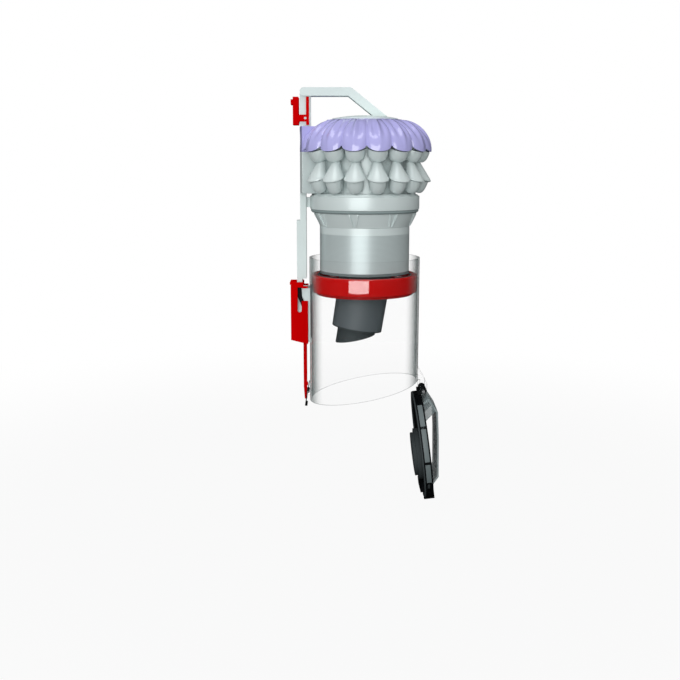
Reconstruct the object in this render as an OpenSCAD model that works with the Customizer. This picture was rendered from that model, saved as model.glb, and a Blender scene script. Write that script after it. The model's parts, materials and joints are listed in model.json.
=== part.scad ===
// Cyclone pack and clear bin of an upright vacuum cleaner, shown as it is emptied:
// the bin is slid down its rail, the base flap hangs open and the red slider is pressed.
// Millimetres. +Z is up, and the rail and the red slider are on the -X side.
// The origin is the point of the carrying handle that lies on the cyclone axis.

/* [Collar and shroud] */
// Height of the collar band
collar_h = 16; // [10:1:24]
// Depth of the rim seal under the collar
seal_h = 4; // [3:0.5:6]
// Height of the funnel between the rim seal and the shroud
funnel_h = 17; // [12:1:24]
// Height of the plain band at the top of the shroud
band_h = 8.5; // [6:0.5:14]
// Height of the perforated mesh
mesh_h = 46; // [30:1:60]
// Height of the skirt under the mesh
skirt_h = 3.5; // [2:0.5:6]
// Wall of the moulded shells
wall = 2; // [1.6:0.1:2.6]

/* [Cyclones] */
// Places for cyclones round the axis, of which two are left for the spine
cyclone_places = 16; // [14:1:16]
// Radius of a cyclone's tip
tip_r = 4.4; // [3.5:0.1:6]
// Length of a cyclone's cone
cone_h = 19; // [14:0.5:22]
// Lean of a cyclone away from the vertical
cyclone_lean = 19; // [12:1:24]

/* [Cover and cap] */
// Height of the lobed cover
cover_h = 38; // [30:1:46]
// Depth of the valleys between the lobes
lobe_d = 6; // [3:0.5:8]
// Rise of the top cap
cap_h = 4; // [3:0.5:8]

/* [Handle] */
// Thickness of the handle bar
bar_t = 10; // [8:0.5:13]
// Width of the handle bar
bar_w = 22; // [16:1:28]
// Height of the handle's top bar above the cover
bar_rise = 38; // [30:1:48]
// Width of the rear post along X
post_w = 13; // [11:0.5:16]
// Swing of the release catch
release_swing = 7; // [4:1:8]

/* [Bin] */
// Outer radius of the bin at its rim
bin_r = 68.9; // [67:0.1:72]
// Wall of the clear bin
bin_wall = 2.2; // [1.8:0.1:2.6]
// Height of the bin on its axis
bin_h = 169; // [140:1:190]
// How far the bin slides down from closed
bin_travel = 59.5; // [50:0.5:62]
// Slant of the bin's open base
slant = 11; // [6:0.5:13]
// Depth of the wiper ring below the rim
ring_drop = 20.5; // [18:0.5:24]
// Height of the wiper ring
ring_h = 21; // [16:0.5:24]

/* [Rail and slider] */
// Width of the rail across Y
rail_w = 17; // [15:0.5:18]
// Travel of the red slider on the bin
slider_travel = 10; // [6:0.5:12]
// Length of the red slider
slider_h = 78; // [72:1:90]
// Wall of the red slider
slider_wall = 2; // [1.6:0.1:2.4]

/* [Flap] */
// Thickness of the base flap
flap_t = 11; // [9:0.5:13]
// Tilt of the open flap from the vertical
flap_tilt = 7; // [3:0.5:9]
// Distance from the bin's base plane to the hinge pin
hinge_drop = 14; // [10:0.5:15]
// Radius of the hinge pin
pin_r = 2; // [1.5:0.1:2.5]

/* [Hidden] */

eps = 0.05;          // overlap that makes a cut clean
gap = 0.3;           // clearance between curved faces of two bodies
run = 0.05;          // radial clearance of a pin in its bore
big = 400;           // side of a block that cuts a whole side away
$fn = 96;

// Radii all follow from the bin's, so that the parts that nest keep their clearances.
collar_r = bin_r - 1.6;
shroud_r = bin_r - 13.3;
core_r = shroud_r - 1.6;
rail_x = bin_r + 15.1;          // outer face of the rail
hinge_x = bin_r + 6.1;          // distance from the axis to the hinge pin
flap_r = bin_r + 0.5;
place_step = 360 / cyclone_places;
tip_circle_r = collar_r - 4.3;  // circle through the tips of the cyclones
head_circle_r = tip_circle_r + cone_h * sin(cyclone_lean);
head_r = head_circle_r * sin(place_step / 2) - 0.6;
cover_r = head_circle_r + 13.8;
cap_r = cover_r - cover_h - 4;

// Levels are measured from the underside of the collar, and rise upwards.
funnel_top = -seal_h;
funnel_bottom = funnel_top - funnel_h;
mesh_top = funnel_bottom - band_h;
mesh_bottom = mesh_top - mesh_h;
shroud_bottom = mesh_bottom - skirt_h;
step_h = 3;
cyclone_base = collar_h + step_h + 1.5;
lower_tip_z = cyclone_base;
lower_head_z = lower_tip_z + cone_h * cos(cyclone_lean);
dome_h = 13;
upper_cone_h = 15;
upper_tip_z = lower_head_z + dome_h + 6;
upper_head_z = upper_tip_z + upper_cone_h * cos(cyclone_lean);
cover_z = upper_head_z - 3;
cover_top = cover_z + cover_h;
cover_wall = 1.5;
plate_z = upper_head_z + head_r * sin(cyclone_lean) + 2.5;
plate_t = 2;
cap_top = cover_top + cap_h;
bar_z = cover_top + bar_rise - bar_t / 2;
handle_left = -(rail_x - 5);
handle_bend_x = -19;
handle_foot_x = 27;
handle_foot_z = cover_top - 3;
bar_slope = (bar_z - handle_foot_z) / (handle_foot_x - handle_bend_x);
grip_z = bar_z + handle_bend_x * bar_slope;   // bar's centre line over the axis

// The two rear places carry the spine, and the rest hold a cyclone each.
function place_angle(i) = 180 + place_step / 2 + i * place_step;
cyclone_angles = [for (i = [1 : cyclone_places - 2]) place_angle(i)];
// In the lower tier two more places at the back make room for the inlet duct.
lower_angles = [for (i = [1 : cyclone_places - 4]) place_angle(i)];

module placed() translate([0, 0, -grip_z]) children();

module ring(r_out, r_in, h, z) {
    translate([0, 0, z])
        difference() {
            cylinder(r = r_out, h = h);
            translate([0, 0, -1]) cylinder(r = r_in, h = h + 2);
        }
}

module block(low, high) translate(low) cube(high - low);

module y_rod(r, y_low, y_high, x, z) {
    translate([x, y_low, z]) rotate([-90, 0, 0]) cylinder(r = r, h = y_high - y_low);
}

module x_rod(r, x_low, x_high, y, z) {
    translate([x_low, y, z]) rotate([0, 90, 0]) cylinder(r = r, h = x_high - x_low);
}

// ---------- carrying handle and release catch ----------

post_x = [handle_left, handle_left + post_w];
tab_top = cover_top - 8;
tab_r = rail_x - 4.4;
sector = 18;          // half-angle of the rear sector that holds the spine and the outlet

module bar_2d(a, b, t) {
    along = b - a;
    translate(a)
        rotate(atan2(along[1], along[0]))
            translate([0, -t / 2]) square([norm(along), t]);
    translate(a) circle(d = t);
    translate(b) circle(d = t);
}

catch_plate_t = 4;
catch_low = tab_top + 2;
catch_high = bar_z - 6;
catch_pin_x = handle_left + post_w / 2;
catch_pin_z = catch_low + 8;
catch_pin_r = 1.5;
// inner side of the catch's outer plate, clear of the post when the catch is pressed
catch_face_x = handle_left - (catch_high - catch_pin_z) * sin(release_swing) - 1.45;
post_half = bar_w / 2 - 3;
catch_in = post_half + 0.4;
catch_out = catch_in + 2;

screw_y = 5;
handle_screw_low = tab_top - 3.4;   // the outlet's bore is below
handle_screw_h = 9.4;

module handle_screw_holes() {
    for (y = [-screw_y, screw_y])
        translate([post_x[0] + 9, y, handle_screw_low]) cylinder(r = 1.5, h = handle_screw_h);
}

module handle() {
    color("gainsboro") placed() difference() {
        union() {
            translate([0, bar_w / 2, 0]) rotate([90, 0, 0]) linear_extrude(bar_w) {
                bar_2d([handle_left + bar_t / 2, bar_z], [handle_bend_x, bar_z], bar_t);
                bar_2d([handle_bend_x, bar_z], [handle_foot_x, handle_foot_z], bar_t);
            }
            block([post_x[0], -post_half, tab_top], [post_x[1], post_half, bar_z]);
        }
        y_rod(catch_pin_r, -bar_w, bar_w, catch_pin_x, catch_pin_z);
        handle_screw_holes();
        // the foot ends on the cap's seat
        block([0, -big / 2, handle_foot_z - big], [big, big / 2, cap_top]);
    }
}

module handle_screws() {
    color("dimgray") placed() handle_screw_holes();
}

module release_catch() {
    lip = 2.5;
    outer_x = catch_face_x - catch_plate_t;
    color("crimson") placed() difference() {
        union() {
            block([outer_x, -catch_out, catch_low], [catch_face_x, catch_out, catch_high]);
            block([outer_x - lip, -catch_out, catch_high - 9], [outer_x, catch_out, catch_high - 3]);
            for (m = [0, 1]) mirror([0, m, 0])
                block([catch_face_x - eps, catch_in, catch_low], [post_x[1] - 2, catch_out, catch_high]);
        }
        y_rod(catch_pin_r + run, -bar_w, bar_w, catch_pin_x, catch_pin_z);
        // slots that show the post between the catch's two edges
        block([post_x[0] - 1.5, -bar_w, catch_pin_z + 4], [post_x[1] - 5.5, bar_w, catch_high + 1]);
        block([post_x[0] - 1.5, -bar_w, catch_low - 1], [post_x[1] - 5.5, bar_w, catch_pin_z - 4]);
    }
}

module catch_pin() {
    color("silver") placed()
        y_rod(catch_pin_r, -catch_out - 0.5, catch_out + 0.5, catch_pin_x, catch_pin_z);
}

module catch_spring() {
    color("silver") placed()
        block([post_x[0] - 0.8, -5, catch_low + 2], [post_x[0], 5, catch_low + 12]);
}

// ---------- cover, cap and outlet ----------

module top_cap() {
    color("silver") placed() difference() {
        translate([0, 0, cover_top]) rotate_extrude() {
            square([cap_r - 1, 1.5]);
            intersection() {
                translate([0, 1.5 - (pow(cap_r, 2) - pow(cap_h, 2)) / (2 * cap_h)])
                    circle(r = (pow(cap_r, 2) + pow(cap_h, 2)) / (2 * cap_h), $fn = 360);
                square([cap_r - 1, cap_h + 1.5]);
            }
        }
        // pocket that the handle's front foot stands in
        block([3, -bar_w / 2, cover_top + 1.4], [big, bar_w / 2, big]);
    }
}

land_r = cap_r - 3;
flute_r = 8;          // radius of the valley between two lobes
flute_lean = 18;      // lean of the valleys towards the axis

// Half section of the dome, drawn inset by the given amount
module dome_section(inset) {
    centre_r = cover_r - cover_h;
    intersection() {
        translate([centre_r, cover_z]) circle(r = cover_h - inset, $fn = 180);
        translate([centre_r, cover_z]) square([cover_h, cover_h]);
    }
    translate([land_r, cover_z]) square([centre_r - land_r + eps, cover_h - inset]);
}

module flutes(r) {
    for (i = [1 : cyclone_places - 3])
        rotate([0, 0, place_angle(i) + place_step / 2])
            translate([cover_r - lobe_d + flute_r / cos(flute_lean), 0, cover_z])
                rotate([0, -flute_lean, 0]) translate([0, 0, -20]) cylinder(r = r, h = 80);
}

module cyclone_cover() {
    color("mediumpurple") placed() difference() {
        rotate([0, 0, 180 + sector]) rotate_extrude(angle = 360 - 2 * sector) dome_section(0);
        flutes(flute_r);
        difference() {
            translate([0, 0, -eps]) rotate_extrude() dome_section(cover_wall);
            flutes(flute_r + cover_wall);
        }
        cylinder(r = land_r, h = big);
    }
}

outlet_r = 11;
outlet_z = tab_top - 15;
// the bore's whole inner edge stays outside the seat on the core
outlet_in = norm([seat_r(upper_cone_h) + 0.8, outlet_r]);

module rear_sector(r_low, r_high, z_low, z_high, half) {
    rotate([0, 0, 180 - half])
        rotate_extrude(angle = 2 * half)
            translate([r_low, z_low]) square([r_high - r_low, z_high - z_low]);
}

module outlet_duct() {
    color("mediumpurple") placed() difference() {
        union() {
            rear_sector(outlet_in, tab_r, cover_z, tab_top, sector - 0.5);
            rear_sector(cap_r - 3, outlet_in + 2, tab_top - 3, tab_top, sector - 0.5);
            rear_sector(cap_r - 3, cap_r + 6, tab_top - 3, cover_top, sector - 0.5);
        }
        x_rod(outlet_r, -big, 0, 0, outlet_z);
        handle_screw_holes();
    }
}

module cover_gasket() {
    color("dimgray") placed()
        ring(core_r - 0.5, core_r - 4, 1.5, plate_z + plate_t);
}

finder_r = 4.5;
finder_circle_r = tip_circle_r + 3;

module vortex_plate() {
    plate_r = head_circle_r - 1;
    color("lightgray") placed() difference() {
        union() {
            ring(plate_r, core_r - 16, plate_t, plate_z);
            for (a = cyclone_angles)
                rotate([0, 0, a]) translate([finder_circle_r, 0, plate_z - 12])
                    cylinder(r = finder_r, h = 12 + eps);
        }
        for (a = cyclone_angles)
            rotate([0, 0, a]) translate([finder_circle_r, 0, plate_z - 13])
                cylinder(r = finder_r - 1, h = 20);
        rear_sector(core_r - 20, big, plate_z - 20, plate_z + 20, sector + 0.5);
    }
}

// ---------- cyclones and core ----------

shell = 1.2;          // wall of a cyclone

// A cyclone in its own frame: tip at the origin, head upwards. With a dome it is closed on top, and a
// tapered link leads from the dome back to the tip of the cyclone above.
module cyclone(cone, dome) {
    inner = head_r - shell;
    rise = upper_tip_z - lower_tip_z;
    link = [-rise * sin(cyclone_lean), rise * cos(cyclone_lean) - cone];
    difference() {
        union() {
            rotate_extrude() {
                polygon([[0, 0], [tip_r, 0], [head_r, cone], [0, cone]]);
                if (dome > 0) intersection() {
                    translate([0, cone]) scale([1, dome / head_r]) circle(r = head_r, $fn = 64);
                    translate([0, cone]) square([head_r, dome]);
                }
            }
            if (dome > 0) intersection() {
                translate([0, 0, cone]) rotate([0, atan2(link[0], link[1]), 0])
                    cylinder(r1 = 0.9 * head_r, r2 = tip_r, h = norm(link));
                // level top, just under the tip above
                rotate([0, -cyclone_lean, 0])
                    translate([0, 0, rise - 1.7 - big / 2]) cube(big, center = true);
            }
        }
        rotate_extrude() {
            polygon([[0, -1], [tip_r - shell, -1], [tip_r - shell, 0], [inner, cone + eps], [0, cone + eps]]);
            if (dome > 0) intersection() {
                translate([0, cone]) scale([1, (dome - shell) / inner]) circle(r = inner, $fn = 64);
                translate([0, cone]) square([inner, dome]);
            }
        }
    }
}

module cyclone_tier(angles, tip_z, cone, dome) {
    for (a = angles)
        rotate([0, 0, a]) translate([tip_circle_r, 0, tip_z]) rotate([0, cyclone_lean, 0])
            cyclone(cone, dome);
}

module upper_cyclones() {
    color("silver") placed() cyclone_tier(cyclone_angles, upper_tip_z, upper_cone_h, 0);
}

module lower_cyclones() {
    color("silver") placed() cyclone_tier(lower_angles, lower_tip_z, cone_h, dome_h);
}

// Height and radius at which a tier's heads come closest to the axis
function seat_z(tip_z, cone) = tip_z + cone * cos(cyclone_lean) + head_r * sin(cyclone_lean);
function seat_r(cone) = tip_circle_r + cone * sin(cyclone_lean) - head_r * cos(cyclone_lean) - gap;

module cyclone_core() {
    seat_t = 3;
    color("whitesmoke") placed() difference() {
        union() {
            translate([0, 0, collar_h + step_h]) cylinder(r = core_r, h = plate_z - collar_h - step_h);
            translate([0, 0, seat_z(lower_tip_z, cone_h) - seat_t / 2])
                cylinder(r = seat_r(cone_h), h = seat_t);
            translate([0, 0, seat_z(upper_tip_z, upper_cone_h) - seat_t / 2])
                cylinder(r = seat_r(upper_cone_h), h = seat_t);
        }
        translate([0, 0, -1]) cylinder(r = core_r - wall, h = big);
    }
}

module spine() {
    inner = seat_r(cone_h) + gap;
    color("silver") placed() difference() {
        rear_sector(inner, tab_r, collar_h + step_h, cover_z, sector - 0.5);
        rear_sector(inner + wall, tab_r - wall, collar_h + step_h + wall, cover_z - wall, sector - 2.5);
    }
}

// ---------- collar, funnel and shroud ----------

inlet_r = 13.5;
inlet_wall = 1.5;
inlet_z = inlet_r + inlet_wall + 1.2;
inlet_angle = 180 - 2 * place_step;
inlet_out = collar_r + 10.7;

module inlet_axis() {
    translate([0, 0, inlet_z]) rotate([0, 0, inlet_angle]) rotate([0, 90, 0]) children();
}

module collar() {
    color("silver") placed() difference() {
        union() {
            cylinder(r = collar_r, h = collar_h);
            translate([0, 0, collar_h]) cylinder(r = collar_r - 2, h = step_h / 2);
            translate([0, 0, collar_h + step_h / 2]) cylinder(r = collar_r - 4.5, h = step_h / 2);
        }
        translate([0, 0, -1]) cylinder(r = collar_r - 2 * wall, h = collar_h - wall + 1);
        cylinder(r = core_r - wall, h = big);
        inlet_axis() cylinder(r = inlet_r + inlet_wall + gap, h = big);
        for (z = rail_screw_z) x_rod(screw_r, -big, 0, 0, z);
    }
}

module rim_seal() {
    color("dimgray") placed()
        translate([0, 0, funnel_top]) rotate_extrude()
            polygon([[collar_r - 5, 0], [collar_r - 2.5, 0], [bin_r - bin_wall - gap, 1.5],
                     [bin_r - bin_wall - gap, seal_h], [collar_r - 5, seal_h]]);
}

funnel_r = collar_r - 3.5;

module funnel() {
    ribs = 7;
    slope = (funnel_r - shroud_r) / funnel_h;
    color("silver") placed() difference() {
        union() {
            translate([0, 0, funnel_bottom]) cylinder(r1 = shroud_r, r2 = funnel_r, h = funnel_h);
            for (i = [0 : ribs - 1])
                rotate([0, 0, 251 + i * 360 / ribs])
                    translate([shroud_r - 2, -0.8, funnel_bottom + 1])
                        cube([funnel_r - shroud_r + 1.2, 1.6, funnel_h - 1]);
        }
        translate([0, 0, funnel_bottom - eps])
            cylinder(r1 = shroud_r - wall, r2 = funnel_r - wall + eps * slope, h = funnel_h + 2 * eps);
    }
}

rib_t = 2.2;
mesh_t = 0.8;

module shroud_frame() {
    bars = 8;
    color("gainsboro") placed() {
        ring(shroud_r, shroud_r - wall, band_h, mesh_top);
        ring(shroud_r - mesh_t - eps, shroud_r - wall - 0.6, 2, mesh_top - 2);
        ring(shroud_r - mesh_t - eps, shroud_r - wall - 0.6, 2, mesh_bottom);
        for (i = [0 : bars - 1])
            rotate([0, 0, (i + 0.5) * 360 / bars])
                translate([shroud_r - mesh_t - rib_t, -rib_t / 2, mesh_bottom])
                    cube([rib_t - eps, rib_t, mesh_h]);
    }
}

module shroud_mesh() {
    color("lightsteelblue") placed()
        ring(shroud_r, shroud_r - mesh_t, mesh_h, mesh_bottom);
}

module shroud_skirt() {
    color("slategray") placed()
        ring(shroud_r, shroud_r - 3.4, skirt_h, shroud_bottom);
}

rim_z = -bin_travel - 0.5;
base_z = rim_z - bin_h;
closed_base_z = base_z + bin_travel;

// The dark collector stands in the shroud and leans towards the rail.
collector_r = 32;
collector_lean = 8.8;
collector_x = -9;
collector_z = closed_base_z + 21.5;
collector_len = (mesh_bottom + 8.5 - collector_z) / cos(collector_lean);
boot_len = 26;

module collector_axis() {
    translate([collector_x, 0, collector_z]) rotate([0, collector_lean, 0]) children();
}

module dust_collector() {
    color("darkslategray") placed() difference() {
        union() {
            collector_axis() cylinder(r1 = collector_r - 0.5, r2 = collector_r + 0.5, h = collector_len);
            translate([0, 0, mesh_bottom + 6]) cylinder(r = shroud_r - mesh_t - rib_t - gap, h = wall);
        }
        collector_axis() translate([0, 0, -1])
            cylinder(r = collector_r - wall, h = collector_len + 2);
    }
}

// The base plane of the closed bin: a block below it, raised by h along its normal
module below_base(mid_z, h) {
    translate([0, 0, mid_z]) rotate([0, -slant, 0])
        translate([-big / 2, -big / 2, h - big]) cube(big);
}

collector_seal_h = 8;

module collector_boot() {
    boot_flange_t = 1.5;
    boot_r = collector_r - 8;
    color("dimgray") placed() difference() {
        collector_axis() union() {
            translate([0, 0, -boot_flange_t]) cylinder(r = collector_r - 0.5, h = boot_flange_t);
            translate([0, 0, -boot_len]) cylinder(r = boot_r, h = boot_len - boot_flange_t / 2);
        }
        collector_axis() translate([0, 0, -boot_len - 1])
            cylinder(r = boot_r - wall, h = boot_len + 2);
        below_base(closed_base_z, collector_seal_h + 1);
    }
}

module inlet_duct() {
    color("silver") placed() inlet_axis() difference() {
        translate([0, 0, core_r + 0.6]) cylinder(r = inlet_r + inlet_wall, h = inlet_out - core_r - 0.6);
        cylinder(r = inlet_r, h = big);
    }
}

module inlet_seal() {
    color("dimgray") placed() inlet_axis()
        ring(inlet_r + inlet_wall + 2.5, inlet_r + inlet_wall + eps, 3, inlet_out - 4);
}

// ---------- rail on the cyclone pack ----------

rail_t = 6.5;
rail_half = rail_w / 2;
flange_t = 2.5;
flange_in = bin_r + 3.3;
plate_top = -14;
flange_low = rim_z - 26;
bracket_top = rim_z - 37.5;
bracket_low = bracket_top - 27.5;
rail_low = bracket_low - 4;
cheek_t = 1.4;
cheek_in = rail_half + 0.5;
screw_r = 1.5;
rail_screw_z = [5, 11];

module rail_screws() {
    color("dimgray") placed()
        for (z = rail_screw_z) x_rod(screw_r, -tab_r, -collar_r + 1.5, 0, z);
}

module slide_rail() {
    color("silver") placed() difference() {
        union() {
            block([-rail_x, -rail_half, rail_low], [rail_t - rail_x, rail_half, plate_top]);
            block([-tab_r, -rail_half, plate_top - 4], [rail_t - rail_x, rail_half, collar_h + step_h]);
            for (m = [0, 1]) mirror([0, m, 0])
                block([rail_t - rail_x - eps, rail_half - flange_t, flange_low],
                      [-flange_in, rail_half, collar_h + step_h]);
            // stop foot under the bin's bracket
            block([-rail_x, -cheek_in - cheek_t, rail_low],
                  [rail_t - rail_x, cheek_in + cheek_t, bracket_low - 0.5]);
            // boss that the rail is screwed to the collar by
            block([rail_t - rail_x - eps, -4, 2], [-collar_r - 0.05, 4, 14]);
        }
        for (z = rail_screw_z) x_rod(screw_r, -big, 0, 0, z);
    }
}

// ---------- clear bin and what is fixed to it ----------

hinge_z = base_z + hinge_x * tan(slant) - hinge_drop / cos(slant);
lug_in = 12;
lug_t = 6;
lug_r = 4.5;
lug_root = hinge_drop + 1;   // the lugs meet the wall just above the base plane

module clear_bin() {
    color("lightblue", 0.4) placed() difference() {
        union() {
            difference() {
                translate([0, 0, base_z - 20]) cylinder(r = bin_r, h = rim_z - base_z + 20, $fn = 180);
                below_base(base_z, 0);
            }
            for (m = [0, 1]) mirror([0, m, 0])
                translate([0, lug_in + lug_t, 0]) rotate([90, 0, 0]) linear_extrude(lug_t) {
                    translate([hinge_x, hinge_z]) circle(r = lug_r);
                    polygon([[hinge_x - lug_r, hinge_z], [hinge_x + lug_r, hinge_z],
                             [hinge_x + lug_r, hinge_z + 10], [bin_r - 1, hinge_z + 30],
                             [bin_r - 4, hinge_z + 30], [bin_r - 4, hinge_z + lug_root],
                             [hinge_x - lug_r, hinge_z + lug_root]]);
                }
        }
        translate([0, 0, base_z - 40]) cylinder(r = bin_r - bin_wall, h = bin_h + 80, $fn = 180);
        y_rod(pin_r, -big / 2, big / 2, hinge_x, hinge_z);
    }
}

module hinge_pin() {
    color("silver") placed()
        y_rod(pin_r, -lug_in - lug_t - 1, lug_in + lug_t + 1, hinge_x, hinge_z);
}

ring_out = bin_r - bin_wall - 0.1;
wiper_r = shroud_r + 0.5;
lip_t = 2;
lip_w = 4;
ring_top = rim_z - ring_drop;
skirt_lip_h = 4;

module wiper_ring() {
    color("red") placed() {
        ring(ring_out, wiper_r + lip_w, ring_h, ring_top - ring_h);
        translate([0, 0, ring_top - ring_h - skirt_lip_h])
            difference() {
                cylinder(r1 = wiper_r + 3, r2 = wiper_r + 6, h = skirt_lip_h + eps);
                translate([0, 0, -1]) cylinder(r = wiper_r + 1, h = big);
            }
    }
}

module wiper_lip() {
    color("dimgray") placed() translate([0, 0, ring_top - lip_t]) rotate_extrude()
        polygon([[wiper_r, lip_t], [wiper_r, lip_t - 0.8], [wiper_r + lip_w, 0], [wiper_r + lip_w, lip_t]]);
}

guide_half = 12.2;
guide_x = bin_r + 2.6;
guide_low = rim_z - 106;
latch_pin = [-(bin_r + 6.3), bracket_low + 4];
latch_pin_r = 1.5;
arm_t = 1.4;

module against_bin() {
    difference() {
        children();
        translate([0, 0, -big]) cylinder(r = bin_r + 0.1, h = 2 * big, $fn = 180);
    }
}

module rail_bracket() {
    color("gainsboro") placed() difference() {
        against_bin() {
            block([-guide_x, -guide_half, guide_low], [-bin_r + 3, guide_half, bracket_top]);
            for (m = [0, 1]) mirror([0, m, 0])
                block([-bin_r - 9.2, cheek_in, bracket_low], [-bin_r, cheek_in + cheek_t, bracket_top]);
        }
        y_rod(latch_pin_r, -big / 2, big / 2, latch_pin[0], latch_pin[1]);
        for (z = [bracket_top - 8, guide_low + 12]) x_rod(screw_r, -big, 0, 0, z);
    }
}

module bracket_screws() {
    color("dimgray") placed()
        for (z = [bracket_top - 8, guide_low + 12])
            x_rod(screw_r, -guide_x, -bin_r - 0.2, 0, z);
}

module latch_pins() {
    color("silver") placed()
        for (m = [0, 1]) mirror([0, m, 0])
            y_rod(latch_pin_r, cheek_in, cheek_in + cheek_t + arm_t + 0.3, latch_pin[0], latch_pin[1]);
}

// ---------- bin latch ----------

module bin_latch() {
    in = cheek_in + cheek_t + 0.3;
    top = bracket_top + 2;
    front = rail_x + 0.5;
    color("black") placed() {
        for (m = [0, 1]) mirror([0, m, 0])
            translate([0, in + arm_t, 0]) rotate([90, 0, 0]) linear_extrude(arm_t)
                difference() {
                    union() {
                        translate(latch_pin) circle(r = 3);
                        polygon([[-rail_x + 0.5, top], [latch_pin[0] - 3.6, top],
                                 [latch_pin[0] - 3, top - 12], [latch_pin[0] + 1.5, latch_pin[1] + 2.5],
                                 [latch_pin[0] - 2, latch_pin[1] - 2.2], [-rail_x + 0.5, top - 13]]);
                        translate([-front - 3, top - 5]) square([4, 5]);
                    }
                    translate(latch_pin) circle(r = latch_pin_r + run);
                }
        block([-front - 3, -in - eps, top - 5], [-front, in + eps, top]);
    }
}

// ---------- red slider and push rod ----------

slider_front = rail_x + 8;
slider_in = cheek_in + cheek_t + arm_t + 0.7;
slider_out = slider_in + slider_wall;
slider_drop = 30;
latch_window = 16;
bracket_window = 28;
slider_top = rim_z - slider_drop;
slider_low = slider_top - slider_h;
rod_x = [-(rail_x - 7), -(bin_r + 3.7)];
web_top = slider_low + 12;
rod_top = web_top - 8;
hook_z = base_z - (bin_r + 2) * tan(slant) - 5;
rod_low = hook_z + 5.8;

module slider() {
    window_r = 2.5;
    color("red") placed() difference() {
        union() {
            block([-slider_front, -slider_out, slider_low], [-slider_front + slider_wall, slider_out, slider_top]);
            for (m = [0, 1]) mirror([0, m, 0]) {
                block([-slider_front, slider_in, slider_low], [-guide_x + 1, slider_out, slider_top - 5]);
                block([-slider_front, slider_in, slider_top - 6], [-rail_x + 8, slider_out, slider_top]);
            }
            // thumb pad
            block([-slider_front - 1, -slider_out, slider_top - 3], [-rail_x - 0.7, slider_out, slider_top]);
            block([rod_x[0], -slider_in - eps, rod_top], [rod_x[1], slider_in + eps, web_top]);
        }
        // windows beside the latch and the bracket
        block([latch_pin[0] - 3.2, -big / 2, bracket_top - latch_window], [0, big / 2, bracket_top]);
        block([-rail_x + 0.6, -big / 2, bracket_top - bracket_window], [-rail_x + 5.6, big / 2, bracket_top + 1]);
        y_rod(window_r, -big / 2, big / 2, -rail_x + 3.1, bracket_top - bracket_window);
        // slanted lower end
        translate([-slider_front, 0, slider_low + 5]) rotate([0, 14, 0])
            translate([-big / 2, -big / 2, -big]) cube(big);
    }
}

module push_rod() {
    tip = 30;
    color("firebrick") placed() {
        block([rod_x[0], -4, rod_low + tip], [rod_x[1], 4, rod_top]);
        translate([0, 2.5, 0]) rotate([90, 0, 0]) linear_extrude(5)
            polygon([[rod_x[0], rod_low + tip + eps], [rod_x[0], rod_low + 16], [rod_x[0] + 1.2, rod_low],
                     [rod_x[1], rod_low], [rod_x[1], rod_low + 17], [rod_x[1] + 1.2, rod_low + 18.5],
                     [rod_x[1] + 1.2, rod_low + 21], [rod_x[1], rod_low + 22.5],
                     [rod_x[1], rod_low + tip + eps]]);
    }
}

// ---------- catch at the foot of the bin ----------

catch_pivot = [-(bin_r + 2.4), rod_low + 11];
catch_open = 0.8 * slider_travel;   // degrees that the pressed slider swings the catch by
base_catch_r = 1;
catch_half = 9;
catch_slot = 3.2;

module catch_bracket() {
    color("lightblue", 0.5) placed() difference() {
        against_bin()
            for (m = [0, 1]) mirror([0, m, 0])
                block([catch_pivot[0] - 2, catch_half + 0.4, catch_pivot[1] - 4],
                      [-bin_r + 3, catch_half + 2.4, catch_pivot[1] + 4]);
        y_rod(base_catch_r, -big / 2, big / 2, catch_pivot[0], catch_pivot[1]);
    }
}

module base_catch_pin() {
    color("silver") placed()
        y_rod(base_catch_r, -catch_half - 2.4, catch_half + 2.4, catch_pivot[0], catch_pivot[1]);
}

module base_catch() {
    foot = hook_z - catch_pivot[1];
    color("black") placed()
        translate([catch_pivot[0], 0, catch_pivot[1]]) rotate([0, catch_open, 0])
            difference() {
                union() {
                    y_rod(1.9, -catch_half, catch_half, 0, 0);
                    block([-0.7, -catch_half, 0], [0.4, catch_half, 10.5]);
                    block([-1.6, -catch_half, foot - 2], [-0.2, catch_half, 0]);
                    block([-1.6, -catch_half, foot - 2], [1.6, catch_half, foot]);
                }
                y_rod(base_catch_r + run, -big / 2, big / 2, 0, 0);
                // the rod's tip passes between the two prongs
                block([-5, -catch_slot, foot - 5], [5, catch_slot, 4]);
            }
}

// ---------- base flap, in its own frame: pin at the origin, hanging down, inner face to -X ----------

flap_in = -(hinge_drop - gap);
flap_out = flap_in + flap_t;
flap_mid = (hinge_x - hinge_drop * sin(slant)) / cos(slant);   // pin to the bin's axis
flap_seal_t = 1.5;
rim_w = 6.5;
knuckle_r = 4.5;
knuckle_half = lug_in - 0.4;
lip_reach = 3.2;      // how far the lips stand out past the disc

module hung() {
    placed() translate([hinge_x, 0, hinge_z]) rotate([0, -flap_tilt, 0]) children();
}

module flap_disc(r_out, r_in, x_low, x_high) {
    translate([x_low, 0, -flap_mid]) rotate([0, 90, 0]) difference() {
        cylinder(r = r_out, h = x_high - x_low);
        if (r_in > 0) translate([0, 0, -1]) cylinder(r = r_in, h = big);
    }
}

// Room round the hinge for the bin's lugs, at every angle of the flap
module lug_room() {
    for (m = [0, 1]) mirror([0, m, 0])
        y_rod(lug_r + 0.8, lug_in - 0.4, lug_in + lug_t + 0.6, 0, 0);
}

module end_block(play) {
    block([flap_in + flap_seal_t - play, -22 - play, -flap_mid - flap_r + 1.8],
          [flap_out + 2, 22 + play, -flap_mid - flap_r + 16 + play]);
}

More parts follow.
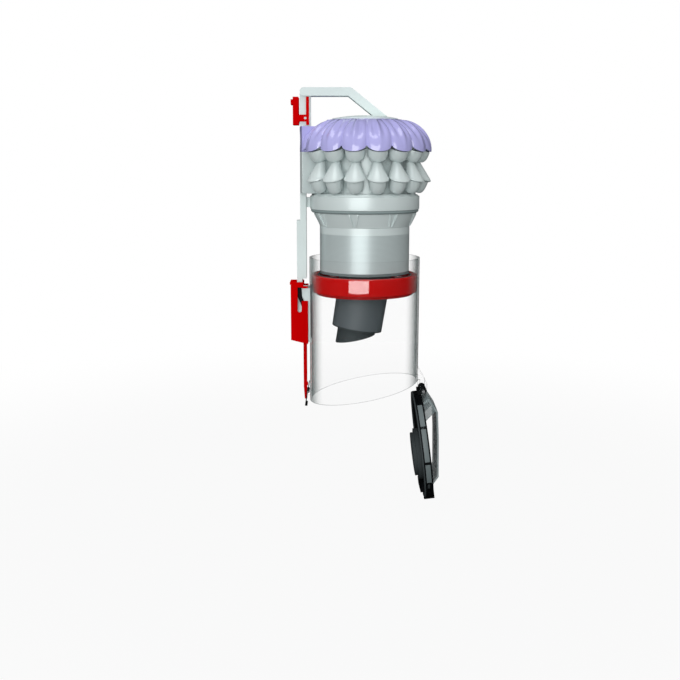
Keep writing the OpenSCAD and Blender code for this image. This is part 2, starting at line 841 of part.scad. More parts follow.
module flap_frame() {
    plate_x = flap_in + flap_seal_t;
    color("black") hung() difference() {
        union() {
            flap_disc(flap_r, flap_r - rim_w, plate_x, flap_out);
            flap_disc(flap_r - rim_w + eps, 0, plate_x, plate_x + 2);
            // ribs across the outer face
            for (y = [-46, -23, 0, 23, 46])
                intersection() {
                    flap_disc(flap_r - rim_w + eps, 0, flap_out - 2, flap_out);
                    block([-big, y - 1.2, -big], [big, y + 1.2, big]);
                }
            y_rod(knuckle_r, -knuckle_half, knuckle_half, 0, 0);
            block([flap_out - 4.5, -knuckle_half, flap_r - rim_w - flap_mid + eps], [flap_out, knuckle_half, 0]);
            // block at the free end, and the two lips that the catch holds
            block([flap_in - 4, -18, -flap_mid - flap_r + 10], [plate_x, 18, -flap_mid - flap_r + 20]);
            end_block(0);
            for (m = [0, 1]) mirror([0, m, 0])
                block([flap_in, catch_slot + 0.8, -flap_mid - flap_r - lip_reach],
                      [flap_in + 3, catch_half, -flap_mid - flap_r + 4.5]);
        }
        // windows round the rim
        for (a = [-54, -32, -8, 16, 38])
            for (m = [0, 1]) mirror([0, m, 0])
                translate([0, 0, -flap_mid]) rotate([90 + a, 0, 0])
                    translate([plate_x + 2, -10, flap_r - rim_w - 1]) cube([4, 20, rim_w + 4]);
        y_rod(pin_r + run, -big / 2, big / 2, 0, 0);
        lug_room();
        block([flap_in - 5, -big / 2, -flap_mid - flap_r - big],
              [plate_x - 0.01, big / 2, -flap_mid - flap_r - lip_reach - 0.1]);
    }
}

module flap_core() {
    color("slategray") hung() difference() {
        flap_disc(flap_r - rim_w - 0.1, 0, flap_in + flap_seal_t + 2, flap_out - 2);
        end_block(0.1);
    }
}

module flap_seal() {
    color("dimgray") hung() difference() {
        flap_disc(flap_r - 0.4, flap_r - rim_w, flap_in, flap_in + flap_seal_t);
        block([flap_in - 1, -20, -flap_mid - flap_r - 5], [0, 20, -flap_mid - flap_r + 5]);
        lug_room();
    }
}

boot_x = collector_x - (boot_len - 6) * sin(collector_lean);
seal_mid = flap_mid - boot_x / cos(slant);

module collector_seal() {
    seal_r = collector_r + 1;
    color("dimgray") hung()
        translate([flap_in + flap_seal_t, 0, -seal_mid]) rotate([0, -90, 0])
            difference() {
                union() {
                    cylinder(r = seal_r, h = flap_seal_t + 4);
                    cylinder(r = seal_r - 5, h = flap_seal_t + collector_seal_h);
                }
                translate([0, 0, 1.5]) cylinder(r = seal_r - 10, h = big);
            }
}

foot_half = 30;
foot_skin = 2.4;
foot_heel = 14.7;        // how far each corner stands off the plane through the hinge
foot_knee = 12.4;
foot_toe = 6.8;
foot_heel_drop = 26;     // how far the heel is below the hinge pin
foot_toe_drop = flap_mid + 37.3;
foot_knee_drop = flap_mid - 15.7;
foot_end = flap_mid + 48;
foot_start = 12.5;

module flap_foot() {
    outline = [[flap_out, -foot_start], [flap_out + 8, -7], [foot_heel, -foot_heel_drop],
               [foot_knee, -foot_knee_drop], [foot_toe, -foot_toe_drop], [flap_out, -foot_end]];
    gusset = [[flap_out, -foot_start - 1], [flap_out + 7, -10], [foot_heel - 2, -foot_heel_drop - 1],
              [flap_out, -40]];
    color("lightgray", 0.6) hung() {
        translate([0, foot_half, 0]) rotate([90, 0, 0]) linear_extrude(2 * foot_half) difference() {
            polygon(outline);
            offset(delta = -foot_skin) polygon(concat(outline, [[-20, -foot_end], [-20, -foot_start]]));
        }
        for (y = [-20, 18])
            translate([0, y + 2, 0]) rotate([90, 0, 0]) linear_extrude(2) polygon(gusset);
    }
}

handle();
handle_screws();
release_catch();
catch_pin();
catch_spring();
top_cap();
cyclone_cover();
outlet_duct();
cover_gasket();
vortex_plate();
upper_cyclones();
lower_cyclones();
cyclone_core();
collar();
rim_seal();
funnel();
shroud_frame();
shroud_mesh();
shroud_skirt();
dust_collector();
collector_boot();
spine();
slide_rail();
rail_screws();
inlet_duct();
inlet_seal();
clear_bin();
wiper_ring();
wiper_lip();
rail_bracket();
bracket_screws();
latch_pins();
hinge_pin();
catch_bracket();
base_catch_pin();
bin_latch();
slider();
push_rod();
base_catch();
flap_frame();
flap_core();
flap_seal();
collector_seal();
flap_foot();
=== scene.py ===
"""Looks of a cyclone pack and clear bin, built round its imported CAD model.

All lengths are metres in the part's own frame.
"""

import json
import math

import bmesh
import bpy
from mathutils import Matrix, Vector

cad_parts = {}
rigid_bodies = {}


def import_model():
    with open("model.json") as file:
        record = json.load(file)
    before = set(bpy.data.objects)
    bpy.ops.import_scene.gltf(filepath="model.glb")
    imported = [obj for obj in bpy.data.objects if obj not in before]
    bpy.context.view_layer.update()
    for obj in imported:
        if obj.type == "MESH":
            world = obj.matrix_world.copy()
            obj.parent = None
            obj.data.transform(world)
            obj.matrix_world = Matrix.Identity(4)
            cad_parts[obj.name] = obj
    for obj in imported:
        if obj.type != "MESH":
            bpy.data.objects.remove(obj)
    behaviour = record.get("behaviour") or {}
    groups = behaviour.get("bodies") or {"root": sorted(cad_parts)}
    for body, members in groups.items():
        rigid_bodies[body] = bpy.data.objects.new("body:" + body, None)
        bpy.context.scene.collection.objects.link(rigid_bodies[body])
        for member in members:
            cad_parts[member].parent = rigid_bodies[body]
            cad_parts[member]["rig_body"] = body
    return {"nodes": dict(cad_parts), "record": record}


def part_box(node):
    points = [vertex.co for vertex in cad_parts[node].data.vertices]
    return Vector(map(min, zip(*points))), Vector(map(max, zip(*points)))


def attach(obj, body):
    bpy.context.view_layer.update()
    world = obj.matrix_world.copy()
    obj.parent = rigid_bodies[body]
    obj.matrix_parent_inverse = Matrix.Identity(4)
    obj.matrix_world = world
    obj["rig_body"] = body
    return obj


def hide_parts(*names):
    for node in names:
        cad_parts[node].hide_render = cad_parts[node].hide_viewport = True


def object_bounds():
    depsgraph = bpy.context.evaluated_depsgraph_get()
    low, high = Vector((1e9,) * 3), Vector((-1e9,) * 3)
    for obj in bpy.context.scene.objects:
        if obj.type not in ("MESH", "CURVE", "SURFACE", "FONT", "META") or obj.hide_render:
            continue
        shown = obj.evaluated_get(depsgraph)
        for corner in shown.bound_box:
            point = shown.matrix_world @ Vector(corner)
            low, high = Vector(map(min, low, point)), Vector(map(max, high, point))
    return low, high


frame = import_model()
cad_low, cad_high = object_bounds()
nodes = frame["nodes"]
node_slots = {s["node"]: s["material_slot"] for s in frame["record"]["subparts"]}
MM = 0.001

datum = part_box("collar")[0].z  # underside of the collar


def up(level):
    """Height in the frame of a level given in millimetres above the collar's underside."""
    return datum + level * MM


# ---------- materials ----------


def shader(name, colour, roughness, metallic=0.0, grain=0.0, tint=0.04, coat=0.0, specular=0.5,
           coat_ior=1.5):
    """Moulded or painted surface with slight tone variation, uneven gloss and a fine grain."""
    mat = bpy.data.materials.new(name)
    mat.use_nodes = True
    tree = mat.node_tree
    bsdf = tree.nodes["Principled BSDF"]
    bsdf.inputs["Metallic"].default_value = metallic
    bsdf.inputs["Coat Weight"].default_value = coat
    bsdf.inputs["Coat Roughness"].default_value = 0.03
    bsdf.inputs["Coat IOR"].default_value = coat_ior
    bsdf.inputs["Specular IOR Level"].default_value = specular
    where = tree.nodes.new("ShaderNodeTexCoord")
    broad = tree.nodes.new("ShaderNodeTexNoise")
    broad.inputs["Scale"].default_value = 14.0
    broad.inputs["Detail"].default_value = 1.0
    tree.links.new(where.outputs["Object"], broad.inputs["Vector"])
    ramp = tree.nodes.new("ShaderNodeValToRGB")
    ramp.color_ramp.elements[0].position = 0.3
    ramp.color_ramp.elements[1].position = 0.7
    ramp.color_ramp.elements[0].color = (*[c * (1 - tint) for c in colour], 1)
    ramp.color_ramp.elements[1].color = (*[min(1.0, c * (1 + tint)) for c in colour], 1)
    tree.links.new(broad.outputs["Fac"], ramp.inputs["Fac"])
    tree.links.new(ramp.outputs["Color"], bsdf.inputs["Base Color"])
    gloss = tree.nodes.new("ShaderNodeMapRange")
    gloss.inputs["To Min"].default_value = roughness * 0.85
    gloss.inputs["To Max"].default_value = min(1.0, roughness * 1.2)
    tree.links.new(broad.outputs["Fac"], gloss.inputs["Value"])
    tree.links.new(gloss.outputs["Result"], bsdf.inputs["Roughness"])
    if grain > 0:
        fine = tree.nodes.new("ShaderNodeTexNoise")
        fine.inputs["Scale"].default_value = 1400.0
        tree.links.new(where.outputs["Object"], fine.inputs["Vector"])
        bump = tree.nodes.new("ShaderNodeBump")
        bump.inputs["Strength"].default_value = grain
        bump.inputs["Distance"].default_value = 0.00006
        tree.links.new(fine.outputs["Fac"], bump.inputs["Height"])
        tree.links.new(bump.outputs["Normal"], bsdf.inputs["Normal"])
    return mat


def see_through(name, colour, face_alpha, edge_alpha, roughness=0.08):
    """Clear or smoky plastic, denser where it is seen edge-on."""
    mat = shader(name, colour, roughness, coat=0.5, tint=0.03)
    tree = mat.node_tree
    bsdf = tree.nodes["Principled BSDF"]
    edge = tree.nodes.new("ShaderNodeLayerWeight")
    edge.inputs["Blend"].default_value = 0.5
    dense = tree.nodes.new("ShaderNodeMapRange")
    dense.interpolation_type = "SMOOTHSTEP"
    dense.inputs["From Min"].default_value = 0.35
    dense.inputs["To Min"].default_value = face_alpha
    dense.inputs["To Max"].default_value = edge_alpha
    tree.links.new(edge.outputs["Facing"], dense.inputs["Value"])
    tree.links.new(dense.outputs["Result"], bsdf.inputs["Alpha"])
    return mat


def perforated(name, colour, radius, pitch):
    """Sheet steel with staggered round holes, laid out on the wall of an upright cylinder; the holes are
    painted shade, darker dots of the sheet's colour.
    """
    mat = shader(name, colour, 0.34, metallic=0.30, tint=0.03)
    tree = mat.node_tree
    bsdf = tree.nodes["Principled BSDF"]

    def node(kind, operation=None, *values):
        n = tree.nodes.new(kind)
        if operation:
            n.operation = operation
        for i, v in enumerate(values):
            if isinstance(v, (int, float)):
                n.inputs[i].default_value = v
            else:
                tree.links.new(v, n.inputs[i])
        return n.outputs[0]

    where = tree.nodes.new("ShaderNodeTexCoord")
    split = tree.nodes.new("ShaderNodeSeparateXYZ")
    tree.links.new(where.outputs["Object"], split.inputs["Vector"])
    turn = node("ShaderNodeMath", "ARCTAN2", split.outputs["Y"], split.outputs["X"])
    round_count = round(2 * math.pi * radius / pitch)
    u = node("ShaderNodeMath", "MULTIPLY", turn, round_count / (2 * math.pi))
    v = node("ShaderNodeMath", "DIVIDE", split.outputs["Z"], pitch * math.sqrt(3))
    distances = []
    for shift in (0.0, 0.5):
        du = node("ShaderNodeMath", "PINGPONG", node("ShaderNodeMath", "ADD", u, 400.0 + shift), 0.5)
        dv = node("ShaderNodeMath", "PINGPONG", node("ShaderNodeMath", "ADD", v, 400.0 + shift), 0.5)
        dv = node("ShaderNodeMath", "MULTIPLY", dv, math.sqrt(3))
        square = node("ShaderNodeMath", "ADD", node("ShaderNodeMath", "MULTIPLY", du, du),
                      node("ShaderNodeMath", "MULTIPLY", dv, dv))
        distances.append(node("ShaderNodeMath", "SQRT", square))
    nearest = node("ShaderNodeMath", "MINIMUM", distances[0], distances[1])
    # painted shade: each hole is only a darker dot of the sheet's colour, standing for the shade seen through
    # it
    painted_hole_shade = node("ShaderNodeMath", "LESS_THAN", nearest, 0.27)
    mix = tree.nodes.new("ShaderNodeMix")
    mix.data_type = "RGBA"
    tree.links.new(painted_hole_shade, mix.inputs["Factor"])
    base = bsdf.inputs["Base Color"].links[0].from_socket
    tree.links.new(base, mix.inputs["A"])
    mix.inputs["B"].default_value = (*[c * 0.62 for c in colour], 1)
    tree.links.new(mix.outputs["Result"], bsdf.inputs["Base Color"])
    return mat


HOLE_PITCH = 0.0016  # between the holes of the shroud's mesh
shroud_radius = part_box("shroud_mesh")[1].x
looks = {
    "silver_plastic": shader("silver_look", (0.66, 0.74, 0.735), 0.29, metallic=0.14, grain=0.05,
                             specular=0.4),
    "pale_grey_plastic": shader("pale_grey_look", (0.66, 0.75, 0.74), 0.42, grain=0.08, specular=0.3),
    "purple_plastic": shader("purple_look", (0.45, 0.435, 0.80), 0.26, coat=0.8, tint=0.06, coat_ior=1.7),
    "red_plastic": shader("red_look", (0.62, 0.0005, 0.0005), 0.40, tint=0.06, coat=1.0, specular=0.0,
                          coat_ior=2.3),
    "red_satin_plastic": shader("red_satin_look", (0.54, 0.0005, 0.001), 0.35, tint=0.06, specular=0.0),
    "clear_plastic": see_through("clear_look", (0.20, 0.26, 0.25), 0.012, 0.66),
    "smoke_plastic": see_through("smoke_look", (0.36, 0.44, 0.45), 0.55, 0.85, 0.22),
    "black_plastic": shader("black_look", (0.003, 0.004, 0.005), 0.50, grain=0.2, tint=0.2, specular=0.10),
    "charcoal_plastic": shader("charcoal_look", (0.105, 0.125, 0.135), 0.45, grain=0.2, tint=0.1,
                               specular=0.35),
    "grey_plastic": shader("grey_look", (0.14, 0.17, 0.175), 0.45, grain=0.2, tint=0.12, specular=0.35),
    "dark_rubber": shader("rubber_look", (0.045, 0.055, 0.058), 0.70, grain=0.4, tint=0.15, specular=0.25),
    "grey_rubber": shader("grey_rubber_look", (0.24, 0.30, 0.30), 0.60, grain=0.3, tint=0.08, specular=0.3),
    "mesh_metal": perforated("mesh_look", (0.62, 0.71, 0.71), shroud_radius, HOLE_PITCH),
    "steel": shader("steel_look", (0.40, 0.41, 0.42), 0.42, metallic=1.0, grain=0.08),
}
for name, node in nodes.items():
    node.data.materials.clear()
    node.data.materials.append(looks[node_slots[name]])


# ---------- mesh helpers ----------


def smooth(obj, angle=32):
    """Smooth shading, with edges sharper than the angle (in degrees) left crisp."""
    for p in obj.data.polygons:
        p.use_smooth = True
    obj.data.set_sharp_from_angle(angle=math.radians(angle))


def piece(name, verts, faces, body, slot, *replaced):
    """Visible mesh that rides a body and stands for the CAD nodes named."""
    mesh = bpy.data.meshes.new(name)
    mesh.from_pydata([tuple(v) for v in verts], [], faces)
    bm = bmesh.new()
    bm.from_mesh(mesh)
    bmesh.ops.remove_doubles(bm, verts=bm.verts, dist=1e-6)
    bmesh.ops.recalc_face_normals(bm, faces=bm.faces)
    bm.to_mesh(mesh)
    bm.free()
    obj = bpy.data.objects.new(name, mesh)
    bpy.context.scene.collection.objects.link(obj)
    mesh.materials.append(looks[slot])
    smooth(obj)
    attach(obj, body)
    if replaced:
        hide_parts(*replaced)
    return obj


def rounded(points, radius, steps=4):
    """Closed outline with each corner turned into an arc."""
    out = []
    count = len(points)
    for i, p in enumerate(points):
        p = Vector(p)
        a, b = Vector(points[i - 1]) - p, Vector(points[(i + 1) % count]) - p
        reach = min(radius, a.length * 0.45, b.length * 0.45)
        start, end = p + a.normalized() * reach, p + b.normalized() * reach
        for k in range(steps + 1):
            t = k / steps
            out.append(tuple(start * (1 - t) ** 2 + p * 2 * t * (1 - t) + end * t * t))
    return out


def revolve(profile, steps=160, start=0.0, sweep=360.0):
    """Vertices and faces of a closed (radius, height) outline turned round the upright axis."""
    whole = abs(sweep - 360) < 1e-6
    rings = steps if whole else steps + 1
    verts = []
    for j in range(rings):
        a = math.radians(start + sweep * j / steps)
        verts += [(r * math.cos(a), r * math.sin(a), z) for r, z in profile]
    n = len(profile)
    faces = []
    for j in range(steps):
        k = (j + 1) % rings
        for i in range(n):
            m = (i + 1) % n
            faces.append((j * n + i, j * n + m, k * n + m, k * n + i))
    if not whole:
        faces += [tuple(range(n))[::-1], tuple(range(steps * n, steps * n + n))]
    return verts, faces


def moved(verts, matrix):
    return [tuple(matrix @ Vector(v)) for v in verts]


def joined(parts):
    """Several (vertices, faces) pairs as one."""
    verts, faces = [], []
    for v, f in parts:
        base = len(verts)
        verts += list(v)
        faces += [tuple(i + base for i in face) for face in f]
    return verts, faces


def bevelled(node, width, segments=3, body=None):
    """The CAD node's own shape with its edges rounded, as moulding leaves them."""
    source = nodes[node]
    obj = bpy.data.objects.new(node + "_moulded", source.data.copy())
    bpy.context.scene.collection.objects.link(obj)
    bm = bmesh.new()
    bm.from_mesh(obj.data)
    bmesh.ops.remove_doubles(bm, verts=bm.verts, dist=2e-6)
    bmesh.ops.dissolve_limit(bm, angle_limit=math.radians(1.0), verts=bm.verts, edges=bm.edges)
    bm.to_mesh(obj.data)
    bm.free()
    edge = obj.modifiers.new("rounding", "BEVEL")
    edge.width = width
    edge.segments = segments
    edge.limit_method = "ANGLE"
    edge.angle_limit = math.radians(40)
    edge.harden_normals = True
    smooth(obj, 40)
    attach(obj, body or source["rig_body"])
    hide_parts(node)
    return obj


# ---------- lobed cover ----------

PLACES = 16  # for lobes and cyclones round the axis
STEP = 360 / PLACES
SECTOR = 18.0  # half-angle left open at the rear for the outlet
VALLEY = 7.5 * MM  # depth between two lobes at the rim
RIDGE = 1.3 * MM  # rise of the fine ridge on a lobe's crest
RECESS = 2.2 * MM  # depth of the recess beside a crest
SCALLOP = 8.0 * MM  # rise of the edge between two lobes
COVER_WALL = 1.4 * MM
cover_low, cover_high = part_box("cyclone_cover")
cover_r = cover_high.x
cover_h = cover_high.z - cover_low.z
dome_centre = cover_r - cover_h


def cover_surface(a, t, inset):
    """Point on the dome at angle a and rise t (0 at the rim, 90 at the top)."""
    place = ((a - 180) / STEP) % 1.0
    from_cusp = min(place, 1 - place) * 2  # 0 between two lobes, 1 on a lobe's crest
    fade = math.cos(math.radians(t)) ** 0.7
    lobe = math.sqrt(max(0.0, 1 - (1 - from_cusp) ** 2))  # round crest, sharp valley
    valley = VALLEY * (1 - lobe) * fade
    ridge = RIDGE * math.exp(-(((place - 0.5) / 0.07) ** 2)) * math.sin(math.radians(t)) ** 0.5
    # the U-shaped recess beside each crest, and the one between two crests
    side = math.exp(-(((abs(place - 0.5) - 0.20) / 0.10) ** 2))
    recess = RECESS * side * math.exp(-(((t - 48) / 20) ** 2))
    closing = 1 - (max(0.0, t - 60) / 30) ** 2  # runs out to the dome itself under the cap
    depth = inset + valley + recess + (COVER_WALL - ridge) * closing
    radius = cover_h - depth
    edge = SCALLOP * (1 - lobe) * math.cos(math.radians(t)) ** 3
    return (dome_centre + radius * math.cos(math.radians(t)),
            cover_low.z + radius * math.sin(math.radians(t)) + edge)


def build_cover():
    """Thin shell of lobes with its top edge carried in under the cap."""
    rows, columns = 30, 448
    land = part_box("top_cap")[1].x - 2.0 * MM
    sections = []
    for j in range(columns + 1):
        a = 180 + SECTOR + (360 - 2 * SECTOR) * j / columns
        outer = [cover_surface(a, 90 * i / rows, 0) for i in range(rows + 1)]
        inner = [cover_surface(a, 90 * i / rows, COVER_WALL) for i in range(rows, -1, -1)]
        loop = outer + [(land, outer[-1][1]), (land, inner[0][1])] + inner
        ca, sa = math.cos(math.radians(a)), math.sin(math.radians(a))
        sections.append([(r * ca, r * sa, z) for r, z in loop])
    n = len(sections[0])
    verts = [v for s in sections for v in s]
    faces = [(j * n + i, j * n + (i + 1) % n, (j + 1) * n + (i + 1) % n, (j + 1) * n + i)
             for j in range(columns) for i in range(n)]
    faces += [tuple(range(n))[::-1], tuple(range(columns * n, columns * n + n))]
    return piece("lobed_cover", verts, faces, "cyclone_pack", "purple_plastic", "cyclone_cover")


build_cover()

# ---------- cyclone tiers ----------

LEAN = 19.0  # of a cyclone away from the vertical, in degrees
TIP_CIRCLE = 63.0 * MM  # radius of the circle through the tips
HEAD = 12.9 * MM  # radius of the widest part
LOWER_CONE = 19  # millimetres
UPPER_CONE = 15
SHOULDER_TOP = 4.6 * MM  # radius where a shoulder meets the tip above
POINT = 0.4 * MM  # radius that closes a ring list
TIP_START = 1.6 * MM


def cyclone_parts(angles, tip_level, cone, reach):
    """Bulbs on their tips; with a reach, a flange round the head and a shoulder up to the tip above."""
    bulb = (0.78 if reach else 0.93) * HEAD
    rings = [(0.0, 0.3 * MM, POINT, 0.0)]  # offset towards the axis, height, radius, tilt
    for k in range(11):
        t = 0.03 + 0.97 * k / 10
        wide = TIP_START + (bulb - TIP_START) * (1 - (1 - t) ** 2) ** 0.55
        rings.append((0.0, cone * 0.84 * t ** 1.5, wide, 0.0))
    if reach:
        rings += [(0.0, cone - 2.7 * MM, bulb + 0.5 * MM, 0.0), (0.0, cone - 1.9 * MM, HEAD - 0.9 * MM, 0.0),
                  (0.0, cone - 1.2 * MM, HEAD, 0.0), (0.0, cone - 0.2 * MM, HEAD - 0.1 * MM, 0.0)]
        for k in range(1, 12):
            t = k / 11
            wide = SHOULDER_TOP + (HEAD - SHOULDER_TOP) * (1 - t) ** 1.25
            rings.append((t * reach[0], cone + t * (reach[1] - cone), wide, -LEAN * t))
        rings.append((reach[0], reach[1], POINT, -LEAN))
    else:
        rings += [(0.0, cone, bulb, 0.0), (0.0, cone, POINT, 0.0)]
    sides = 40
    verts = []
    for shift, level, radius, tilt in rings:
        turn = Matrix.Translation((-shift, 0, level)) @ Matrix.Rotation(math.radians(tilt), 4, "Y")
        verts += [tuple(turn @ Vector((radius * math.cos(2 * math.pi * j / sides),
                                       radius * math.sin(2 * math.pi * j / sides), 0))) for j in range(sides)]
    faces = [(i * sides + j, i * sides + (j + 1) % sides,
              (i + 1) * sides + (j + 1) % sides, (i + 1) * sides + j)
             for i in range(len(rings) - 1) for j in range(sides)]
    last = (len(rings) - 1) * sides
    faces += [tuple(range(sides))[::-1], tuple(range(last, last + sides))]
    return joined([(moved(verts, Matrix.Rotation(math.radians(a), 4, "Z")
                          @ Matrix.Translation((TIP_CIRCLE, 0, up(tip_level)))
                          @ Matrix.Rotation(math.radians(LEAN), 4, "Y")), faces) for a in angles])


place_angles = [180 + STEP / 2 + i * STEP for i in range(1, PLACES - 1)]
lower_tip = (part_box("collar")[1].z - datum) / MM + 1.5
lower_head = lower_tip + LOWER_CONE * math.cos(math.radians(LEAN))
upper_tip = lower_head + 19
rise = (upper_tip - lower_tip) * MM - 0.4 * MM
link = (rise * math.sin(math.radians(LEAN)), rise * math.cos(math.radians(LEAN)))
piece("upper_tier", *cyclone_parts(place_angles, upper_tip, UPPER_CONE * MM, None), "cyclone_pack",
      "silver_plastic", "upper_cyclones")
# the two last places of the lower tier are left for the inlet
piece("lower_tier", *cyclone_parts(place_angles[:-2], lower_tip, LOWER_CONE * MM, link), "cyclone_pack",
      "silver_plastic", "lower_cyclones")

# ---------- collar, funnel and shroud ----------

collar_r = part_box("collar")[1].x
collar_outline = [(50 * MM, up(14)), (collar_r - 4 * MM, up(14)),
                  (collar_r - 4 * MM, up(0)), (collar_r, up(0)), (collar_r, up(16)),
                  (collar_r - 2 * MM, up(16)), (collar_r - 2 * MM, up(17.5)),
                  (collar_r - 4.5 * MM, up(17.5)), (collar_r - 4.5 * MM, up(19)), (52 * MM, up(19))]
piece("collar_band", *revolve(rounded(collar_outline, 0.7 * MM, 3), 200), "cyclone_pack",
      "silver_plastic", "collar")

funnel_low, funnel_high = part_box("funnel")
funnel_r = max(funnel_high.x, -funnel_low.x)
funnel_outline = [(shroud_radius - 2 * MM, funnel_low.z), (shroud_radius, funnel_low.z),
                  (shroud_radius + 0.6 * MM, funnel_low.z + 2 * MM), (funnel_r - 0.8 * MM, funnel_high.z),
                  (funnel_r - 3 * MM, funnel_high.z)]


def gussets(places):
    """Pairs of fins under the funnel's rim that draw together and taper away downwards."""
    inner, outer = shroud_radius - 1.5 * MM, funnel_r - 0.3 * MM
    low, high = funnel_low.z + 1.0 * MM, funnel_high.z
    outline = [(inner, low), (shroud_radius + 1.6 * MM, low), (outer, high - 3 * MM),
               (outer, high), (inner, high)]
    n = len(outline)
    fins = []
    for side in (-1, 1):
        verts = []
        for face in (-1, 1):
            for x, z in outline:
                share = (z - low) / (high - low)
                off_centre = 1.7 + 3.6 * share  # millimetres, as is half the thickness
                half_thick = 0.35 + 0.45 * share
                verts.append((x, (side * off_centre + face * half_thick) * MM, z))
        faces = [tuple(range(n)), tuple(range(n, 2 * n))[::-1]]
        faces += [(i, i + n, (i + 1) % n + n, (i + 1) % n) for i in range(n)]
        fins.append((verts, faces))
    return joined([(moved(verts, Matrix.Rotation(math.radians(a), 4, "Z")), faces)
                   for a in places for verts, faces in fins])


fins = gussets([256.5 + k * 45 for k in range(8)])
piece("funnel_wall", *joined([revolve(rounded(funnel_outline, 0.6 * MM, 3), 200), fins]),
      "cyclone_pack", "silver_plastic", "funnel")
bevelled("shroud_frame", 0.3 * MM)
bevelled("shroud_skirt", 0.6 * MM)

# ---------- bin and wiper ring ----------

bin_r = 68.9 * MM
bevelled("clear_bin", 0.7 * MM)
ring_low, ring_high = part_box("wiper_ring")
ring_r = ring_high.x
ring_bottom = ring_low.z + 3 * MM
ring_inner = 58.8 * MM
ring_outline = [(ring_inner, ring_bottom), (ring_r, ring_bottom),
                (ring_r, ring_high.z), (ring_inner, ring_high.z)]
skirt_outline = [(ring_inner, ring_low.z), (60.6 * MM, ring_low.z), (62.8 * MM, ring_bottom + 0.3 * MM),
                 (ring_inner, ring_bottom + 0.3 * MM)]
piece("wiper_band", *joined([revolve(rounded(ring_outline, 2.6 * MM, 6), 200),
                             revolve(rounded(skirt_outline, 0.5 * MM, 3), 200)]),
      "bin", "red_plastic", "wiper_ring")
lip_low, lip_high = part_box("wiper_lip")
lip_outline = [(57.1 * MM, lip_low.z), (ring_inner, lip_low.z),
               (ring_inner, lip_high.z), (57.6 * MM, lip_high.z)]
piece("slim_lip", *revolve(rounded(lip_outline, 0.4 * MM, 3), 200), "bin", "dark_rubber", "wiper_lip")


def wall_rib(first, last, low, high, stand):
    """Raised strip on the bin's wall between two angles, in degrees from the front."""
    outline = [(bin_r - 0.1 * MM, low), (bin_r + stand, low), (bin_r + stand, high), (bin_r - 0.1 * MM, high)]
    return revolve(rounded(outline, 0.25 * MM, 2), 10, 270 + first, last - first)


piece("guide_rib", *wall_rib(-75.5, -71.0, up(-159), up(-92), 0.5 * MM), "bin", "charcoal_plastic")

# ---------- dark collector inside the bin ----------

bevelled("dust_collector", 0.5 * MM)

# ---------- handle, slider and the other moulded parts ----------

bevelled("handle", 3.6 * MM, 6)
for name in ("slider", "release_catch", "push_rod"):
    bevelled(name, 0.9 * MM, 4)
for name in ("spine", "slide_rail", "outlet_duct", "rail_bracket", "bin_latch", "base_catch", "flap_frame",
             "flap_core", "flap_foot"):
    bevelled(name, 0.5 * MM)

# ---------- grey panes in the rim of the base flap ----------

HINGE = (75.0 * MM, 0, up(-228.684))
FLAP_MID = 73.68 * MM  # from the hinge to the middle of the flap
FLAP_R = 69.4 * MM
HANG = -7  # tilt of the open flap, in degrees
hung = (Matrix.Translation(HINGE) @ Matrix.Rotation(math.radians(HANG), 4, "Y")
        @ Matrix.Translation((0, 0, -FLAP_MID)) @ Matrix.Rotation(math.radians(90), 4, "Y"))
pane_outline = rounded([(FLAP_R - 1.0 * MM, -10.6 * MM), (FLAP_R + 0.2 * MM, -10.6 * MM),
                        (FLAP_R + 0.2 * MM, -4.6 * MM), (FLAP_R - 1.0 * MM, -4.6 * MM)], 0.2 * MM, 2)
panes = []
for first, last in ((-61, -35), (-32, 2), (5, 27)):
    for start in (first - 90, 90 - last):
        verts, faces = revolve(pane_outline, 14, start, last - first)
        panes.append((moved(verts, hung), faces))
piece("flap_panes", *joined(panes), "flap", "grey_plastic")

# ---------- stage, camera and light ----------


def stage_material(name, colour, lift):
    """Floor that the camera and clear parts see lifted towards white, with the object's shadow kept."""
    mat = bpy.data.materials.new(name)
    mat.use_nodes = True
    tree = mat.node_tree
    bsdf = tree.nodes["Principled BSDF"]
    bsdf.inputs["Roughness"].default_value = 0.9
    bsdf.inputs["Specular IOR Level"].default_value = 0.0
    glow = tree.nodes.new("ShaderNodeEmission")
    path = tree.nodes.new("ShaderNodeLightPath")
    seen = tree.nodes.new("ShaderNodeMath")
    seen.operation = "MAXIMUM"
    tree.links.new(path.outputs["Is Camera Ray"], seen.inputs[0])
    tree.links.new(path.outputs["Is Transmission Ray"], seen.inputs[1])
    share = tree.nodes.new("ShaderNodeMath")
    share.operation = "MULTIPLY"
    where = tree.nodes.new("ShaderNodeTexCoord")
    away = tree.nodes.new("ShaderNodeVectorMath")
    away.operation = "LENGTH"
    tree.links.new(where.outputs["Object"], away.inputs[0])
    fade = tree.nodes.new("ShaderNodeMapRange")
    fade.interpolation_type = "SMOOTHSTEP"
    fade.inputs["From Min"].default_value = 0.35
    fade.inputs["From Max"].default_value = 1.1
    fade.inputs["To Min"].default_value = lift
    fade.inputs["To Max"].default_value = 1.0
    tree.links.new(away.outputs["Value"], fade.inputs["Value"])
    tree.links.new(fade.outputs["Result"], share.inputs[1])
    tree.links.new(seen.outputs["Value"], share.inputs[0])
    # darker where gloss mirrors it, so that red and black gloss keep their depth
    dim = tree.nodes.new("ShaderNodeMix")
    dim.data_type = "RGBA"
    dim.inputs["A"].default_value = (*colour, 1)
    dim.inputs["B"].default_value = (0.015, 0.016, 0.016, 1)
    tree.links.new(path.outputs["Is Glossy Ray"], dim.inputs["Factor"])
    tree.links.new(dim.outputs["Result"], bsdf.inputs["Base Color"])
    mix = tree.nodes.new("ShaderNodeMixShader")
    tree.links.new(share.outputs["Value"], mix.inputs["Fac"])
    tree.links.new(bsdf.outputs["BSDF"], mix.inputs[1])
    tree.links.new(glow.outputs["Emission"], mix.inputs[2])
    tree.links.new(mix.outputs["Shader"], tree.nodes["Material Output"].inputs["Surface"])
    return mat


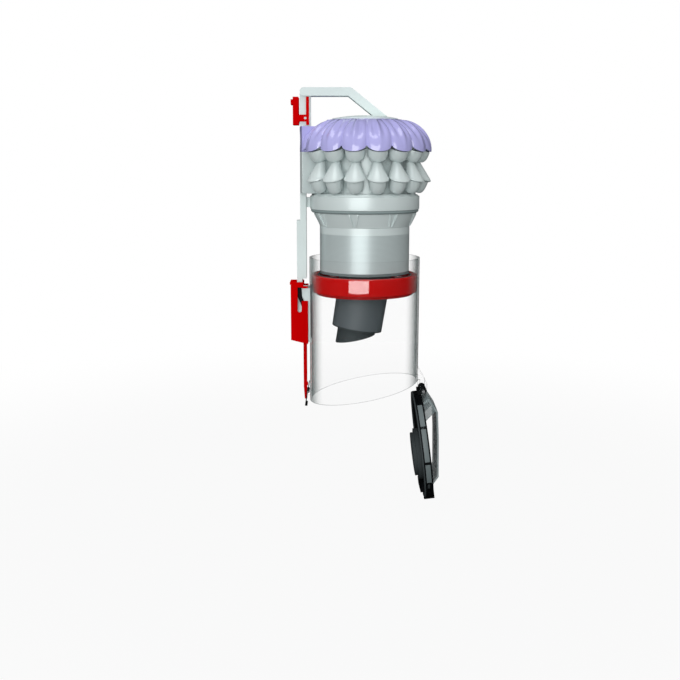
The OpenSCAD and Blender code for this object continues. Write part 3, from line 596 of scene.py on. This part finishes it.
floor_z = cad_low.z
floor_mesh = bpy.data.meshes.new("floor")
floor_mesh.from_pydata([(-6, -6, 0), (6, -6, 0), (6, 6, 0), (-6, 6, 0)], [], [(0, 1, 2, 3)])
floor = bpy.data.objects.new("floor", floor_mesh)
floor.location.z = floor_z
floor_mesh.materials.append(stage_material("floor_look", (0.12, 0.13, 0.13), 0.94))
bpy.context.scene.collection.objects.link(floor)

world = bpy.data.worlds.new("studio")
bpy.context.scene.world = world
world.use_nodes = True
tree = world.node_tree
sky = tree.nodes["Background"]
sky.inputs["Color"].default_value = (1, 1, 1, 1)
path = tree.nodes.new("ShaderNodeLightPath")
strength = None
# white where it is seen, dim where it is mirrored, soft where it only gives light
for ray, level in (("Is Glossy Ray", 0.03), ("Is Transmission Ray", 1.0), ("Is Camera Ray", 1.0)):
    choice = tree.nodes.new("ShaderNodeMix")
    choice.data_type = "FLOAT"
    tree.links.new(path.outputs[ray], choice.inputs["Factor"])
    choice.inputs["B"].default_value = level
    if strength is None:
        choice.inputs["A"].default_value = 0.78
    else:
        tree.links.new(strength, choice.inputs["A"])
    strength = choice.outputs["Result"]
tree.links.new(strength, sky.inputs["Strength"])


def lamp(name, place, target, width, height, power):
    """Rectangular area lamp aimed at a point."""
    data = bpy.data.lights.new(name, "AREA")
    data.shape = "RECTANGLE"
    data.size = width
    data.size_y = height
    data.energy = power
    obj = bpy.data.objects.new(name, data)
    obj.location = place
    obj.rotation_euler = (Vector(target) - Vector(place)).to_track_quat("-Z", "Y").to_euler()
    bpy.context.scene.collection.objects.link(obj)


middle = (cad_low + cad_high) / 2
lamp("strip", (-0.29, -1.25, -0.06), (0.0, 0.0, -0.20), 1.00, 0.86, 8.5)
lamp("top", (-0.1, -0.7, 1.3), middle, 0.9, 0.6, 3.4)

camera_data = bpy.data.cameras.new("camera")
camera_data.lens = 48.55
camera_data.sensor_width = 36
camera = bpy.data.objects.new("camera", camera_data)
camera.location = (-0.0306, -1.146, -0.0718)
camera.rotation_euler = (math.radians(79.2), 0, 0)
bpy.context.scene.collection.objects.link(camera)
bpy.context.scene.camera = camera
bpy.context.scene.view_settings.view_transform = "Standard"
